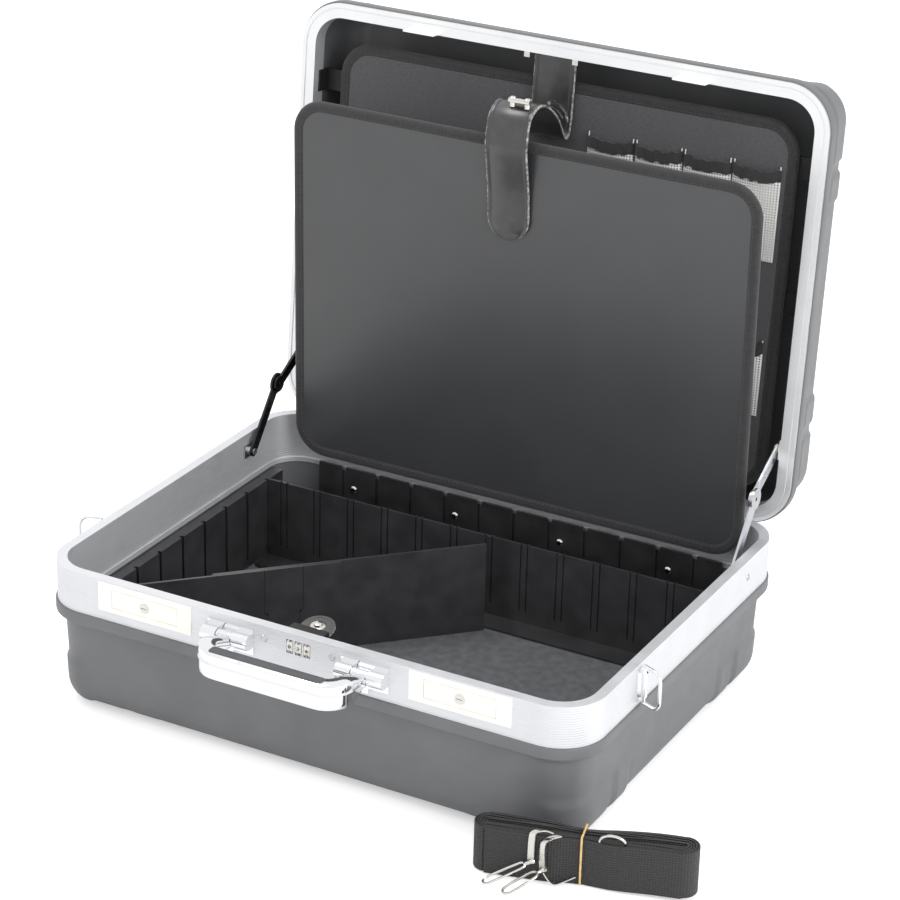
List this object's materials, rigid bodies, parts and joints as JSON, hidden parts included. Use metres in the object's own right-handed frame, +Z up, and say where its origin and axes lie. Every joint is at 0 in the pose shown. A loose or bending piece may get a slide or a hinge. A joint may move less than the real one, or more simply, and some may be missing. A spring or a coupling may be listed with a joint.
{
  "type": "hard tool case",
  "caption": "Open hard tool case: black moulded shells in aluminium frames, key latches, number lock, chrome handle, dividers, two tool boards and a folded shoulder strap.",
  "frame": {"origin": "centre of the case base at floor level", "axes": "+X to the right, +Y to the back where the lid is hinged, +Z up"},
  "size_m": [0.5785, 0.5136, 0.4791],
  "materials": {
    "black_abs": "moulded, fine satin grain",
    "aluminium": "anodised, satin",
    "chrome": "bright plated",
    "ivory_enamel": "smooth enamel",
    "nickel": "bright nickel",
    "steel": "zinc plated",
    "dark_steel": "black oxide",
    "black_sheet": "fine leather grain",
    "mat_foam": "matte",
    "board_cloth": "flocked board",
    "binding": "woven tape",
    "mesh": "woven net",
    "leather": "smooth, cut edges",
    "grip_rubber": "fine ribs",
    "dial_plastic": "satin",
    "webbing": "nylon webbing",
    "lock_black": "satin"
  },
  "bodies": {
    "case": {"lower_shell": "black_abs", "base_frame": "aluminium", "base_mat": "mat_foam", "back_liner": "black_sheet", "liner_rivets": "nickel", "left_liner": "black_sheet", "right_liner": "black_sheet", "front_liner": "black_sheet", "middle_divider": "black_sheet", "diagonal_divider_front": "black_sheet", "diagonal_divider_rear": "black_sheet", "document_tab": "leather", "tab_stud": "nickel", "latch_plate_left": "ivory_enamel", "latch_plate_right": "ivory_enamel", "lock_housing": "lock_black", "lock_axle": "steel", "frame_rivets": "nickel", "handle_brackets": "chrome", "handle_pins": "steel", "ring_brackets": "chrome", "hinge_leaves_base": "steel", "hinge_pins": "steel", "stay_feet": "steel", "shoulder_strap": "webbing", "shoulder_strap_hooks": "nickel"},
    "lid": {"lid_shell": "black_abs", "lid_frame": "aluminium", "lid_catches": "ivory_enamel", "strap_keeper": "nickel", "hinge_leaves_lid": "steel", "stay_lid_brackets": "ivory_enamel", "rear_tool_board": "board_cloth", "rear_board_binding": "binding", "board_brackets": "lock_black", "tool_pockets": "mesh", "board_hinge_bar": "lock_black", "closing_strap": "leather", "strap_studs": "nickel"},
    "hang_strip": {"board_hinge_strip": "binding"},
    "front_board": {"front_tool_board": "board_cloth", "front_board_binding": "binding", "closing_strap_tail": "leather"},
    "stay_lower_left": {"stay_arm_lower_left": "dark_steel"},
    "stay_lower_right": {"stay_arm_lower_right": "steel"},
    "stay_upper_left": {"stay_arm_upper_left": "dark_steel"},
    "stay_upper_right": {"stay_arm_upper_right": "steel"},
    "handle": {"handle_bar": "chrome", "handle_insert": "grip_rubber"},
    "flap_left": {"latch_flap_left": "ivory_enamel"},
    "flap_right": {"latch_flap_right": "ivory_enamel"},
    "key_left": {"latch_barrel_left": "nickel"},
    "key_right": {"latch_barrel_right": "nickel"},
    "bolt_left": {"latch_bolt_left": "steel"},
    "bolt_right": {"latch_bolt_right": "steel"},
    "wheel_1": {"lock_wheel_1": "dial_plastic"},
    "wheel_2": {"lock_wheel_2": "dial_plastic"},
    "wheel_3": {"lock_wheel_3": "dial_plastic"},
    "ring_left": {"strap_ring_left": "chrome"},
    "ring_right": {"strap_ring_right": "chrome"}
  },
  "joints": [
    {"name": "lid_hinge", "type": "hinge", "parent": "case", "child": "lid", "pos_m": [0, 0.1795, 0.12], "axis": [1, 0, 0], "range_deg": [0, 95]},
    {"name": "strip_fold", "type": "hinge", "parent": "lid", "child": "hang_strip", "pos_m": [0, 0.19495, 0.13481], "axis": [1, 0, 0], "range_deg": [-106.1, 0]},
    {"name": "board_fold", "type": "hinge", "parent": "hang_strip", "child": "front_board", "pos_m": [0, 0.16354, 0.1287], "axis": [1, 0, 0], "range_deg": [0, 100.2]},
    {"name": "stay_left_foot", "type": "hinge", "parent": "case", "child": "stay_lower_left", "pos_m": [-0.222, 0.11, 0.109], "axis": [1, 0, 0], "range_deg": [0, 82]},
    {"name": "stay_right_foot", "type": "hinge", "parent": "case", "child": "stay_lower_right", "pos_m": [0.222, 0.11, 0.109], "axis": [1, 0, 0], "range_deg": [0, 82]},
    {"name": "stay_left_top", "type": "hinge", "parent": "lid", "child": "stay_upper_left", "pos_m": [-0.219, 0.19508, 0.18338], "axis": [1, 0, 0], "range_deg": [-150, 0]},
    {"name": "stay_right_top", "type": "hinge", "parent": "lid", "child": "stay_upper_right", "pos_m": [0.219, 0.19508, 0.18338], "axis": [1, 0, 0], "range_deg": [-150, 0]},
    {"name": "handle_swing", "type": "hinge", "parent": "case", "child": "handle", "pos_m": [0, -0.1875, 0.1105], "axis": [-1, 0, 0], "range_deg": [0, 70]},
    {"name": "flap_left_lift", "type": "hinge", "parent": "case", "child": "flap_left", "pos_m": [-0.136, -0.1796, 0.117], "axis": [-1, 0, 0], "range_deg": [0, 65], "stiffness_Nm_per_rad": 0.004, "springref_deg": -11.46},
    {"name": "key_left_turn", "type": "hinge", "parent": "flap_left", "child": "key_left", "pos_m": [-0.136, -0.18, 0.11], "axis": [0, 1, 0], "range_deg": [0, 90]},
    {"name": "bolt_left_slide", "type": "slide", "parent": "case", "child": "bolt_left", "axis": [0, -1, 0], "range_m": [0, 0.0035]},
    {"name": "flap_right_lift", "type": "hinge", "parent": "case", "child": "flap_right", "pos_m": [0.136, -0.1796, 0.117], "axis": [-1, 0, 0], "range_deg": [0, 65], "stiffness_Nm_per_rad": 0.004, "springref_deg": -11.46},
    {"name": "key_right_turn", "type": "hinge", "parent": "flap_right", "child": "key_right", "pos_m": [0.136, -0.18, 0.11], "axis": [0, 1, 0], "range_deg": [0, 90]},
    {"name": "bolt_right_slide", "type": "slide", "parent": "case", "child": "bolt_right", "axis": [0, -1, 0], "range_m": [0, 0.0035]},
    {"name": "wheel_1_turn", "type": "hinge", "parent": "case", "child": "wheel_1", "pos_m": [-0.0074, -0.1727, 0.113], "axis": [1, 0, 0], "continuous": true},
    {"name": "wheel_2_turn", "type": "hinge", "parent": "case", "child": "wheel_2", "pos_m": [0, -0.1727, 0.113], "axis": [1, 0, 0], "continuous": true},
    {"name": "wheel_3_turn", "type": "hinge", "parent": "case", "child": "wheel_3", "pos_m": [0.0074, -0.1727, 0.113], "axis": [1, 0, 0], "continuous": true},
    {"name": "ring_left_swing", "type": "hinge", "parent": "case", "child": "ring_left", "pos_m": [-0.239, -0.088, 0.108], "axis": [0, 0, 1], "range_deg": [-105, 55]},
    {"name": "ring_right_swing", "type": "hinge", "parent": "case", "child": "ring_right", "pos_m": [0.239, -0.088, 0.108], "axis": [0, 0, 1], "range_deg": [-55, 105]}
  ],
  "couplings": [
    {"joint": "strip_fold", "follows": "lid_hinge", "ratio": -1.1158},
    {"joint": "board_fold", "follows": "lid_hinge", "ratio": 1.0537},
    {"joint": "stay_left_foot", "follows": "lid_hinge", "ratio": 0.85951},
    {"joint": "stay_left_top", "follows": "lid_hinge", "ratio": -1.575},
    {"joint": "bolt_left_slide", "follows": "flap_left_lift", "m_per_rad": 0.003085},
    {"joint": "stay_right_foot", "follows": "lid_hinge", "ratio": 0.85951},
    {"joint": "stay_right_top", "follows": "lid_hinge", "ratio": -1.575},
    {"joint": "bolt_right_slide", "follows": "flap_right_lift", "m_per_rad": 0.003085}
  ]
}
